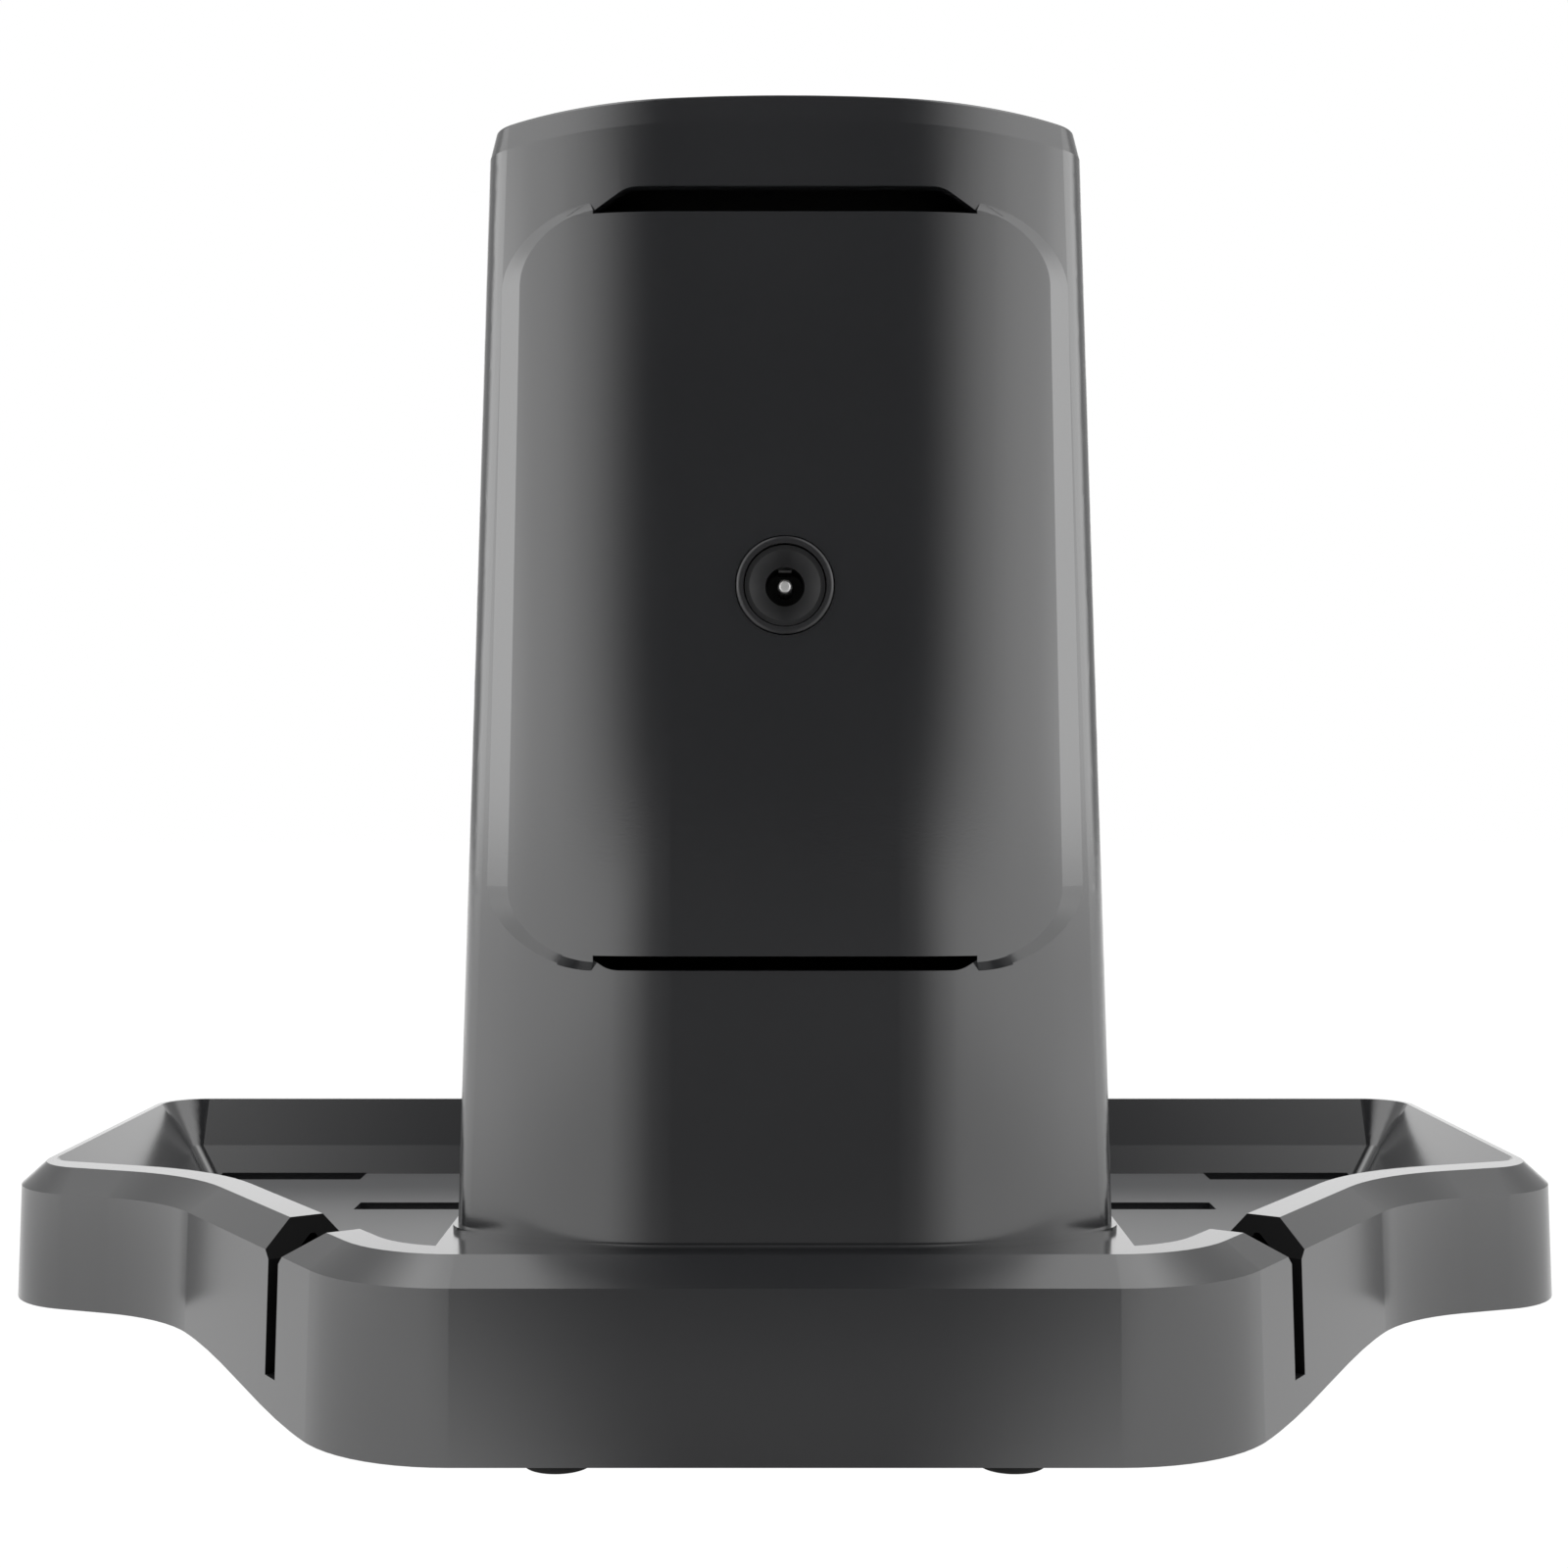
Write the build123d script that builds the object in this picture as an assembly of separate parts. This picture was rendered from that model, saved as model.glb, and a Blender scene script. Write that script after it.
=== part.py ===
"""Charging base of a cordless floor vacuum: a moulded tray with a charging tower.

Millimetres, +Z up. The origin is on the floor under the middle of the tray, +X is the
long side, and -Y is the rear edge, where the tower stands with its power jack.
"""
from build123d import *
import math
import os

# Tray outline, measured on the floor side of the skirt
base_width = 299.7
base_depth = 184.0
rear_flat_half = 67.4
wing_width = 34.35
shoulder_depth = 70.7
wing_corner_depth = 82.0
rear_corner_radius = 30.0
shoulder_radius = 36.0
wing_corner_radius = 18.5
far_corner_radius = 15.0

# Tray heights and walls
rim_height = 33.8
chamfer_drop = 4.0
chamfer_run = 6.0
side_chamfer_run = 4.3
skirt_bottom = 2.6
wing_lift = 5.7
wing_lift_start = 12.0
wing_lift_run = 50.0
skirt_draft = 1.8
wall = 2.5
rear_rim_flat = 5.8
side_rim_flat = 1.2
floor_height = 18.2
step_height = 24.0
slope_run = 6.5
step_run = 4.5
plinth_half = 55.5
plinth_margin = 3.0
plinth_corner_radius = 14.0

# Floor slots, each on both sides of the tower
slot_width = 7.6
slot_sink = 2.4
outer_slot_far_margin = 21.0
outer_slot_side_margin = 20.85
outer_slot_length = 33.0
inner_slot_far_margin = 56.0
inner_slot_tower_gap = 6.5
inner_slot_length = 28.5

# Lead slit and funnel in each neck wall
slit_along = 31.4
slit_width = 4.2
slit_bottom = 9.5
funnel_width = 15.6
funnel_drop = 5.4
slit_reach = 4.0

# Tower
tower_height = 216.0
tower_setback = 10.1
tower_depth = 62.0
tower_foot_half = 54.0
tower_top_half = 48.0
tower_flat_half = 18.0
tower_side_radius = 53.0
tower_side_sweep = 60.0
tower_crown = 3.0
tower_rear_edge_radius = 7.0
tower_front_edge_radius = 14.0
tower_foot_flare = 0.8
tower_foot_step = 0.9
tower_top_band = 4.3
tower_top_lean = 1.0
tower_top_radius = 0.6
tower_split = 36.0

# Rear panel: a plate that stands proud of the shell, and its plug in the opening
panel_top_drop = 14.7
panel_bottom = 77.7
panel_top_gap = 4.4
panel_bottom_gap = 2.4
panel_margin = 3.0
panel_proud = 1.4
panel_bevel_angle = 45.0
panel_face_radius = 8.0
panel_plug_radius = 20.0
panel_lip = 4.0
panel_side_clearance = 0.25
panel_thickness = 4.2
panel_depth = 20.0
panel_slot_half = 31.5
panel_slot_slope = 1.5
panel_slot_radius = 5.0
clip_length = 14.0
clip_reach = 4.0
clip_thickness = 2.0
clip_margin = 10.0

# Power jack
jack_height = 138.3
bezel_diameter = 15.4
bezel_bore = 13.1
bezel_proud = 0.7
bezel_edge_radius = 0.6
bezel_flange_diameter = 19.0
bezel_flange_thickness = 1.2
jack_face_diameter = 12.7
jack_mouth_diameter = 11.2
jack_bore = 6.2
jack_mouth_depth = 2.4
jack_length = 9.0
jack_sink = 0.5
jack_body_side = 14.0
jack_pin_diameter = 2.3
jack_pin_setback = 2.0
jack_floor = 2.0
spring_width = 2.0
spring_thickness = 0.4
spring_length = 8.0
terminal_length = 3.0
fit_clearance = 0.15

# Board, contacts and leads in the tower
board_width = 46.0
board_height = 40.0
board_thickness = 1.6
board_standoff = 9.0
board_level = 128.0
board_screw_rise = 13.0
board_boss_diameter = 7.0
board_screw_spread = 19.0
contact_level = 118.0
contact_spacing = 16.0
contact_diameter = 4.0
contact_proud = 2.2
contact_block_width = 34.0
contact_block_height = 14.0
contact_block_proud = 1.2
contact_flange = 2.0
contact_flange_thickness = 1.6
contact_corner_radius = 3.0
contact_tip_radius = 1.2
contact_tail_diameter = 2.0
lead_diameter = 1.6
lead_spacing = 5.0
lead_bow = 9.0
lead_lift = 3.0
lead_bend = 4.0
connector_height = 6.0
connector_depth = 5.0
connector_width = 12.0

# Bottom cover, feet and screws
cover_level = 8.4
cover_thickness = 2.4
cover_clearance = 0.4
foot_diameter = 11.0
foot_thickness = 3.4
foot_edge_radius = 0.6
foot_sink = 0.8
foot_post_wall = 1.6
rear_foot_half = 35.7
rear_foot_depth = 10.2
far_foot_side_margin = 25.5
far_foot_margin = 22.0
screw_diameter = 3.0
screw_head_diameter = 5.6
screw_head_height = 2.0
screw_length = 7.5
tower_screw_length = 12.0
board_screw_length = 8.0
screw_hole_clearance = 0.3
boss_diameter = 8.0
tower_screw_half = 42.5
tower_boss_height = 18.0
tower_boss_width = 10.0
rear_tower_screw_depth = 27.0
front_tower_screw_depth = 58.0
rear_screw_half = 60.0
rear_screw_depth = 14.0
wing_screw_margin = 17.5
wing_screw_depth = 96.0
far_screw_side_margin = 45.5
far_screw_margin = 14.0

os.makedirs("parts", exist_ok=True)
rear_y = -base_depth / 2
wall_top = rim_height - chamfer_drop
draft_run = (wall_top - skirt_bottom) * math.tan(math.radians(skirt_draft))
rim_inset = draft_run + chamfer_run
side_rim_inset = draft_run + side_chamfer_run
half_width = base_width / 2
shoulder_half = half_width - wing_width


def from_rear(depth):
    """Y of a point this far in from the rear edge of the tray."""
    return rear_y + depth


def meet(a, da, b, db):
    """Point where the line through a along da crosses the line through b along db."""
    cross = da.X * db.Y - da.Y * db.X
    t = ((b.X - a.X) * db.Y - (b.Y - a.Y) * db.X) / cross
    return a + da * t


def tray_outline(near, edge):
    """Plan face of the tray, its rear, neck and wing edges moved in by near, its sides and
    far edge by edge, with the corners rounded to stay parallel to the outer corners."""
    right = [
        Vector(rear_flat_half, rear_y),
        Vector(shoulder_half, from_rear(shoulder_depth)),
        Vector(half_width, from_rear(wing_corner_depth)),
        Vector(half_width, from_rear(base_depth)),
    ]
    corners = right + [Vector(-p.X, p.Y) for p in reversed(right)]
    insets = [near, near, edge, edge, edge, near, near, near]
    radii = [rear_corner_radius, shoulder_radius, wing_corner_radius, far_corner_radius]
    radii = radii + radii[::-1]
    turns = [-1, 1, -1, -1, -1, -1, 1, -1]
    moved = []
    count = len(corners)
    for i, corner in enumerate(corners):
        before = (corner - corners[i - 1]).normalized()
        after = (corners[(i + 1) % count] - corner).normalized()
        a = corner + Vector(-before.Y, before.X) * insets[i - 1]
        b = corner + Vector(-after.Y, after.X) * insets[i]
        moved.append(meet(a, before, b, after))
    rounded = []
    for i, radius in enumerate(radii):
        inset = max(insets[i - 1], insets[i])
        rounded.append(max(radius + turns[i] * inset, wall))
    return make_face(FilletPolyline(*moved, radius=rounded, close=True))


def stack(*levels):
    """Solid through plan faces at rising heights, with straight walls between them."""
    faces = [Pos(0, 0, height) * face for height, face in levels]
    solids = [loft([low, high], ruled=True) for low, high in zip(faces, faces[1:])]
    body = solids[0]
    for part in solids[1:]:
        body = body + part
    return body


def both_sides(shape):
    """A shape and its mirror image across the middle of the base."""
    return [shape, mirror(shape, about=Plane.YZ)]


def tower_column(inset, bottom):
    """Upright column on the tower's plan, a flat rear with round flanks, moved in by inset."""
    sweep = math.radians(tower_side_sweep)
    end_x = tower_flat_half + tower_side_radius * math.sin(sweep)
    end_y = tower_side_radius * (1 - math.cos(sweep))
    mid_x = tower_flat_half + tower_side_radius * math.sin(sweep / 2)
    mid_y = tower_side_radius * (1 - math.cos(sweep / 2))
    y0 = from_rear(tower_setback)
    y1 = y0 + tower_depth
    right = [
        ThreePointArc((tower_flat_half, y0), (mid_x, y0 + mid_y), (end_x, y0 + end_y)),
        Line((end_x, y0 + end_y), (end_x, y1)),
    ]
    left = [mirror(edge, about=Plane.YZ) for edge in right]
    rear = Line((-tower_flat_half, y0), (tower_flat_half, y0))
    front = Line((-end_x, y1), (end_x, y1))
    plan = make_face([rear, front] + right + left)
    plan = plan if inset == 0 else offset(plan, amount=-inset)
    return extrude(Pos(0, 0, bottom) * plan, amount=tower_height - bottom + tower_crown)


def tower_solid(inset, bottom):
    """Tower form with every outer face moved in by inset, from bottom upwards: the column on
    its plan, cut to the tapered front view with a crowned top."""
    front_y = from_rear(tower_setback) + tower_depth - inset
    slope = (tower_foot_half - tower_top_half) / (tower_height - rim_height)
    side_inset = inset * math.sqrt(1 + slope * slope)
    foot = tower_foot_half + slope * (rim_height - bottom) - side_inset
    top = tower_top_half - side_inset
    crown_top = tower_height - inset
    shoulder = crown_top - tower_crown
    view = make_face(
        [
            Line((-foot, bottom), (foot, bottom)),
            Line((foot, bottom), (top, shoulder)),
            ThreePointArc((top, shoulder), (0, crown_top), (-top, shoulder)),
            Line((-top, shoulder), (-foot, bottom)),
        ]
    )
    slab = extrude(Plane.XZ * view, amount=base_depth, both=True)
    body = tower_column(inset, bottom) & slab
    upright = [e for e in body.edges() if e.bounding_box().size.Z > (tower_height - bottom) / 2]
    corner_edges = [e for e in upright if e.center().Y < front_y - wall]
    corner_edges = [e for e in corner_edges if abs(e.center().X) > tower_flat_half + wall]
    body = fillet(corner_edges, max(tower_rear_edge_radius - inset, 1.0))
    upright = [e for e in body.edges() if e.bounding_box().size.Z > (tower_height - bottom) / 2]
    front_edges = [e for e in upright if e.center().Y > front_y - wall]
    body = fillet(front_edges, max(tower_front_edge_radius - inset, 1.0))
    if inset == 0:
        lid = body.faces().sort_by(Axis.Z)[-1]
        body = chamfer(lid.edges(), tower_top_lean, tower_top_band, reference=lid)
        body = fillet(body.faces().sort_by(Axis.Z)[-1].edges(), tower_top_radius)
    return body


def keep_side(shape, low, high):
    """Part of a shape between two Y values."""
    span = high - low
    block = Pos(0, low + span / 2, tower_height / 2) * Box(base_width, span, tower_height * 2)
    return shape & block


def rod(x, y, low, high, diameter):
    """Upright cylinder between two heights."""
    standing = (Align.CENTER, Align.CENTER, Align.MIN)
    return Pos(x, y, low) * Cylinder(diameter / 2, high - low, align=standing)


def bar(x, z, start, end, diameter):
    """Cylinder along +Y between two Y values."""
    turn = Rot(-90, 0, 0)
    straight = Cylinder(diameter / 2, end - start, align=(Align.CENTER, Align.CENTER, Align.MIN))
    return Pos(x, start, z) * turn * straight


def block(x0, x1, y0, y1, z0, z1):
    """Box between two corners."""
    return Pos((x0 + x1) / 2, (y0 + y1) / 2, (z0 + z1) / 2) * Box(x1 - x0, y1 - y0, z1 - z0)


def save(name, shape):
    """Write one piece to its own file."""
    solids = shape.solids()
    export_step(solids[0] if len(solids) == 1 else Compound(children=solids), f"parts/{name}.step")


# Places that several pieces share
tower_rear = from_rear(tower_setback)
tower_front = tower_rear + tower_depth
split_y = tower_rear + tower_split
plinth_front = tower_front + plinth_margin
cover_top = cover_level + cover_thickness
board_front = tower_front - wall - board_standoff
board_rear = board_front - board_thickness
board_screw_level = board_level + board_screw_rise
hole_diameter = screw_diameter + screw_hole_clearance
rear_feet = [(side * rear_foot_half, from_rear(rear_foot_depth)) for side in (-1, 1)]
far_foot_half = half_width - far_foot_side_margin
far_feet = [(side * far_foot_half, from_rear(base_depth - far_foot_margin)) for side in (-1, 1)]
cover_screw_spots = [
    (rear_screw_half, rear_screw_depth),
    (half_width - wing_screw_margin, wing_screw_depth),
    (half_width - far_screw_side_margin, base_depth - far_screw_margin),
]
cover_screw_places = [(s * x, from_rear(d)) for x, d in cover_screw_spots for s in (-1, 1)]
rear_tower_places = [(s * tower_screw_half, from_rear(rear_tower_screw_depth)) for s in (-1, 1)]
front_tower_places = [(s * tower_screw_half, from_rear(front_tower_screw_depth)) for s in (-1, 1)]

# Base tray: drafted skirt, chamfered rim, sunk floor and a plinth for the tower
near_lip = rim_inset + rear_rim_flat
edge_lip = side_rim_inset + side_rim_flat
lip_rise = wall
outer = stack(
    (skirt_bottom, tray_outline(0.0, 0.0)),
    (wall_top, tray_outline(draft_run, draft_run)),
    (rim_height, tray_outline(rim_inset, side_rim_inset)),
)
cavity = stack(
    (floor_height, tray_outline(near_lip + slope_run + step_run, edge_lip + slope_run + step_run)),
    (step_height, tray_outline(near_lip + slope_run, edge_lip + slope_run)),
    (rim_height, tray_outline(near_lip, edge_lip)),
    (rim_height + lip_rise, tray_outline(near_lip, edge_lip)),
)


def plinth_block(inset, top):
    """Plinth under the tower, moved in by inset, with its two far corners rounded."""
    half = plinth_half - inset
    body = block(-half, half, rear_y, plinth_front - inset, 0, top)
    far_edges = body.edges().filter_by(Axis.Z).group_by(Axis.Y)[-1]
    return fillet(far_edges, plinth_corner_radius - inset)


cavity = cavity - plinth_block(0.0, rim_height + 2 * lip_rise)

inside = stack(
    (0.0, tray_outline(wall, wall)),
    (wall_top - wall, tray_outline(draft_run + wall, draft_run + wall)),
    (rim_height - wall, tray_outline(rim_inset + wall, side_rim_inset + wall)),
)
near_under = near_lip - wall
edge_under = edge_lip - wall
under_floor = stack(
    (
        floor_height - wall,
        tray_outline(near_under + slope_run + step_run, edge_under + slope_run + step_run),
    ),
    (step_height - wall, tray_outline(near_under + slope_run, edge_under + slope_run)),
    (rim_height - wall, tray_outline(near_under, edge_under)),
    (rim_height + lip_rise, tray_outline(near_under, edge_under)),
)
hollow = inside - (under_floor - plinth_block(wall, rim_height - wall))

floor_slots = []
slot_pads = []
outer_slot_end = half_width - outer_slot_side_margin
inner_slot_start = plinth_half + inner_slot_tower_gap
sink = floor_height - slot_sink
for far_margin, x0, x1 in (
    (outer_slot_far_margin, outer_slot_end - outer_slot_length, outer_slot_end),
    (inner_slot_far_margin, inner_slot_start, inner_slot_start + inner_slot_length),
):
    y0 = from_rear(base_depth - far_margin) - slot_width / 2
    y1 = y0 + slot_width
    floor_slots += both_sides(block(x0, x1, y0, y1, sink, rim_height))
    pad = block(x0 - wall, x1 + wall, y0 - wall, y1 + wall, sink - wall, floor_height)
    slot_pads += both_sides(pad)
cover_bosses = [rod(x, y, cover_top, rim_height, boss_diameter) for x, y in cover_screw_places]
for solid in slot_pads + cover_bosses:
    hollow = hollow - solid

neck = Vector(shoulder_half - rear_flat_half, shoulder_depth).normalized()
slit_x = rear_flat_half + neck.X * slit_along
slit_y = rear_y + neck.Y * slit_along
outward = math.degrees(math.atan2(-neck.X, neck.Y))
slit_inner = -(near_lip + slit_reach)
slit_face = make_face(
    Polyline(
        (-slit_width / 2, slit_bottom),
        (slit_width / 2, slit_bottom),
        (slit_width / 2, rim_height - funnel_drop),
        (funnel_width / 2, rim_height),
        (funnel_width / 2, rim_height + lip_rise),
        (-funnel_width / 2, rim_height + lip_rise),
        (-funnel_width / 2, rim_height),
        (-slit_width / 2, rim_height - funnel_drop),
        close=True,
    )
)
slit = extrude(Plane.YZ * slit_face, amount=slit_reach - slit_inner)
slit = Pos(slit_x, slit_y, 0) * Rot(0, 0, outward) * Pos(slit_inner, 0, 0) * slit

lift = skirt_bottom + wing_lift
far_out = from_rear(base_depth) + wall
lift_from = from_rear(wing_lift_start)
lift_to = from_rear(wing_lift_start + wing_lift_run)
lift_side = make_face(
    [
        Spline((lift_from, skirt_bottom), (lift_to, lift), tangents=[(1, 0), (1, 0)]),
        Polyline(
            (lift_to, lift),
            (far_out, lift),
            (far_out, skirt_bottom - wall),
            (lift_from, skirt_bottom - wall),
            (lift_from, skirt_bottom),
        ),
    ]
)
lift_cut = extrude(Plane.YZ * lift_side, amount=base_width, both=True)

base_tray = outer - cavity - hollow - lift_cut
for cutter in both_sides(slit) + floor_slots:
    base_tray = base_tray - cutter
for x, y in cover_screw_places:
    hole_top = cover_level + screw_length + fit_clearance
    base_tray = base_tray - rod(x, y, cover_top - wall, hole_top, hole_diameter)
for x, y in rear_tower_places + front_tower_places:
    base_tray = base_tray - rod(x, y, floor_height, rim_height + wall, hole_diameter)
save("base_tray", base_tray)

# Bottom cover with its four foot posts
cover_inset = wall + draft_run + cover_clearance
cover_plan = Pos(0, 0, cover_level) * tray_outline(cover_inset, cover_inset)
bottom_cover = extrude(cover_plan, amount=cover_thickness)
post_bottom = foot_thickness - foot_sink
post_diameter = foot_diameter + 2 * foot_post_wall
for x, y in rear_feet + far_feet:
    bottom_cover = bottom_cover + rod(x, y, post_bottom, cover_top, post_diameter)
    bottom_cover = bottom_cover - rod(x, y, 0, foot_thickness, foot_diameter + 2 * fit_clearance)
for x, y in cover_screw_places:
    bottom_cover = bottom_cover - rod(x, y, 0, cover_top + wall, hole_diameter)
save("bottom_cover", bottom_cover)

foot_names = ["foot_rear_left", "foot_rear_right", "foot_far_left", "foot_far_right"]
for name, (x, y) in zip(foot_names, rear_feet + far_feet):
    pad = rod(x, y, 0, foot_thickness, foot_diameter)
    rim_edge = pad.edges().group_by(Axis.Z)[0]
    save(name, fillet(rim_edge, foot_edge_radius))

# Tower shells: one form, hollowed and split across its depth
tower_outside = tower_solid(0.0, rim_height)
foot_layer = Pos(0, 0, rim_height) * Box(
    base_width, base_depth, tower_foot_step, align=(Align.CENTER, Align.CENTER, Align.MIN)
)
tower_foot = tower_solid(-tower_foot_flare, rim_height) & foot_layer
tower_hollow = tower_outside + tower_foot - tower_solid(wall, rim_height - wall)
tower_rear_shell = keep_side(tower_hollow, tower_rear - wall, split_y)
tower_front_cover = keep_side(tower_hollow, split_y, tower_front + wall)


def tower_boss(x, y):
    """Screw boss in a lower corner of the tower, grown out to the side wall."""
    side = math.copysign(1.0, x)
    reach = tower_foot_half - abs(x)
    low = min(x - side * tower_boss_width / 2, x + side * reach)
    high = max(x - side * tower_boss_width / 2, x + side * reach)
    half = tower_boss_width / 2
    return block(low, high, y - half, y + half, rim_height, rim_height + tower_boss_height)


boss_limit = tower_solid(wall / 2, rim_height)
for x, y in rear_tower_places:
    tower_rear_shell = tower_rear_shell + (tower_boss(x, y) & boss_limit)
for x, y in front_tower_places:
    tower_front_cover = tower_front_cover + (tower_boss(x, y) & boss_limit)
tower_screw_seat = rim_height - wall
tower_screw_tip = tower_screw_seat + tower_screw_length
for x, y in rear_tower_places:
    tower_rear_shell = tower_rear_shell - rod(x, y, 0, tower_screw_tip + fit_clearance, hole_diameter)
for x, y in front_tower_places:
    tower_front_cover = tower_front_cover - rod(x, y, 0, tower_screw_tip + fit_clearance, hole_diameter)


def tower_half(height):
    """Half width of the tower at a height."""
    slope = (tower_foot_half - tower_top_half) / (tower_height - tower_crown - rim_height)
    return tower_foot_half - slope * (height - rim_height)


def flank_back(x):
    """How far the tower's rear face has curved back at this distance from the middle."""
    past = max(abs(x) - tower_flat_half, 0.0)
    return tower_side_radius - math.sqrt(tower_side_radius**2 - past**2)


def panel_section(back, low_half, high_half, low, high, radius):
    """Rounded and tapered outline of the panel, this far behind the tower's rear face."""
    corners = [(-low_half, low), (low_half, low), (high_half, high), (-high_half, high)]
    outline = make_face(FilletPolyline(*corners, radius=radius, close=True))
    return Plane.XZ.offset(-(tower_rear + back)) * outline


panel_top = tower_height - panel_top_drop
panel_low = panel_bottom + panel_bottom_gap
panel_high = panel_top - panel_top_gap
panel_low_half = tower_half(panel_low) - panel_margin
panel_high_half = tower_half(panel_high) - panel_margin
bevel_slope = math.tan(math.radians(panel_bevel_angle))


def panel_taper(back, radius):
    """Outline of the bevelled plate at a depth: its flanks slope in towards the rear."""
    low_half = panel_low_half - (flank_back(panel_low_half) - back) * bevel_slope
    high_half = panel_high_half - (flank_back(panel_high_half) - back) * bevel_slope
    edge = (back + panel_proud) * bevel_slope
    return panel_section(back, low_half, high_half, panel_low - edge, panel_high + edge, radius)


def plug_prism(grow):
    """Straight plug of the panel behind its lip, grown all round for the opening in the shell."""
    low_half = panel_low_half - panel_lip + grow
    high_half = panel_high_half - panel_lip + grow
    low = panel_low - grow
    high = panel_high + grow
    face = panel_section(-panel_proud, low_half, high_half, low, high, panel_plug_radius + grow)
    return extrude(face, amount=-(panel_depth + panel_proud))


def slot_prism(edge, far):
    """Open slot between the panel's edge and the shell, narrower away from the panel."""
    rise = far - edge
    hidden = math.copysign(panel_lip / 2, rise)
    foot = panel_slot_half + abs(hidden) * panel_slot_slope
    head = panel_slot_half - abs(rise) * panel_slot_slope
    corners = [(-foot, edge - hidden), (foot, edge - hidden), (head, far), (-head, far)]
    face = make_face(Polyline(*corners, close=True))
    face = fillet(face.vertices().sort_by(lambda v: abs(v.Z + v.Y - far))[:2], panel_slot_radius)
    start = tower_rear - panel_proud
    return extrude(Plane.XZ.offset(-start) * face, amount=-(panel_depth + panel_proud))


tower_rear_shell = tower_rear_shell - plug_prism(panel_side_clearance)
tower_rear_shell = tower_rear_shell - slot_prism(panel_high, panel_top)
tower_rear_shell = tower_rear_shell - slot_prism(panel_low, panel_bottom)
save("tower_rear_shell", tower_rear_shell)

# Rear panel: bevelled plate on the shell, plug through the opening, clips behind the shell
panel_root_radius = panel_face_radius + (panel_depth + panel_proud + wall) * bevel_slope
panel_form = loft(
    [panel_taper(-panel_proud - wall, panel_face_radius), panel_taper(panel_depth, panel_root_radius)],
    ruled=True,
)
panel_skin = tower_column(-panel_proud, rim_height) - tower_column(-fit_clearance, rim_height)
plug = tower_column(-fit_clearance, rim_height) - tower_solid(panel_thickness, rim_height - wall)
panel_form = panel_form - slot_prism(panel_high + panel_lip / 2, panel_top)
panel_form = panel_form - slot_prism(panel_low - panel_lip / 2, panel_bottom)
rear_panel = (panel_skin & panel_form) + (plug & plug_prism(0.0))
clip_gap = wall + fit_clearance
clip_skin = tower_solid(clip_gap, rim_height) - tower_solid(clip_gap + clip_thickness, rim_height - wall)
clip_root = panel_high_half - panel_lip - clip_reach
clip_end = panel_low_half - panel_lip + clip_reach
low_clip = panel_low + panel_plug_radius + clip_margin
high_clip = panel_high - panel_plug_radius - clip_margin - clip_length
for side in (-1, 1):
    for clip_low in (low_clip, high_clip):
        x_low, x_high = sorted((side * clip_root, side * clip_end))
        strip = block(
            x_low, x_high, tower_rear, tower_rear + panel_depth, clip_low, clip_low + clip_length
        )
        rear_panel = rear_panel + (clip_skin & strip)
panel_face = tower_rear - panel_proud
rear_panel = rear_panel - bar(
    0, jack_height, panel_face - wall, tower_rear + panel_depth, bezel_diameter + 2 * fit_clearance
)
save("rear_panel", rear_panel)

# Power jack: bezel ring, socket body, centre pin and sleeve spring
panel_back = tower_rear + panel_thickness
bezel_back = panel_back + bezel_flange_thickness
bezel = bar(0, jack_height, panel_face - bezel_proud, panel_back, bezel_diameter)
bezel = fillet(bezel.edges().group_by(Axis.Y)[0], bezel_edge_radius)
bezel = bezel + bar(0, jack_height, panel_back, bezel_back, bezel_flange_diameter)
bezel = bezel - bar(0, jack_height, panel_face - wall, bezel_back + wall, bezel_bore)
save("dc_jack_bezel", bezel)

jack_front = panel_face + jack_sink
jack_back = bezel_back + jack_length
half_side = jack_body_side / 2
jack = bar(0, jack_height, jack_front, bezel_back, jack_face_diameter)
jack = jack + block(
    -half_side, half_side, bezel_back, jack_back, jack_height - half_side, jack_height + half_side
)
mouth = Pos(0, jack_front, jack_height) * Rot(-90, 0, 0) * Cone(
    jack_mouth_diameter / 2, jack_bore / 2, jack_mouth_depth, align=(Align.CENTER, Align.CENTER, Align.MIN)
)
jack = jack - mouth
jack = jack - bar(0, jack_height, jack_front, jack_back - jack_floor, jack_bore)
jack = jack - bar(0, jack_height, jack_front, jack_back + wall, jack_pin_diameter)
spring_top = jack_height + math.sqrt((jack_bore / 2) ** 2 - (spring_width / 2) ** 2)
spring_low = spring_top - spring_thickness
half_spring = spring_width / 2
terminal_end = jack_back + terminal_length
spring = block(
    -half_spring, half_spring, jack_back - jack_floor - spring_length, terminal_end, spring_low, spring_top
)
jack = jack - spring
save("dc_jack_body", jack)
pin_tip = jack_front + jack_pin_setback
pin = bar(0, jack_height, pin_tip, terminal_end, jack_pin_diameter)
save("dc_jack_pin", fillet(pin.edges().group_by(Axis.Y)[0], jack_pin_diameter / 4))
save("dc_jack_spring", spring)

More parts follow.
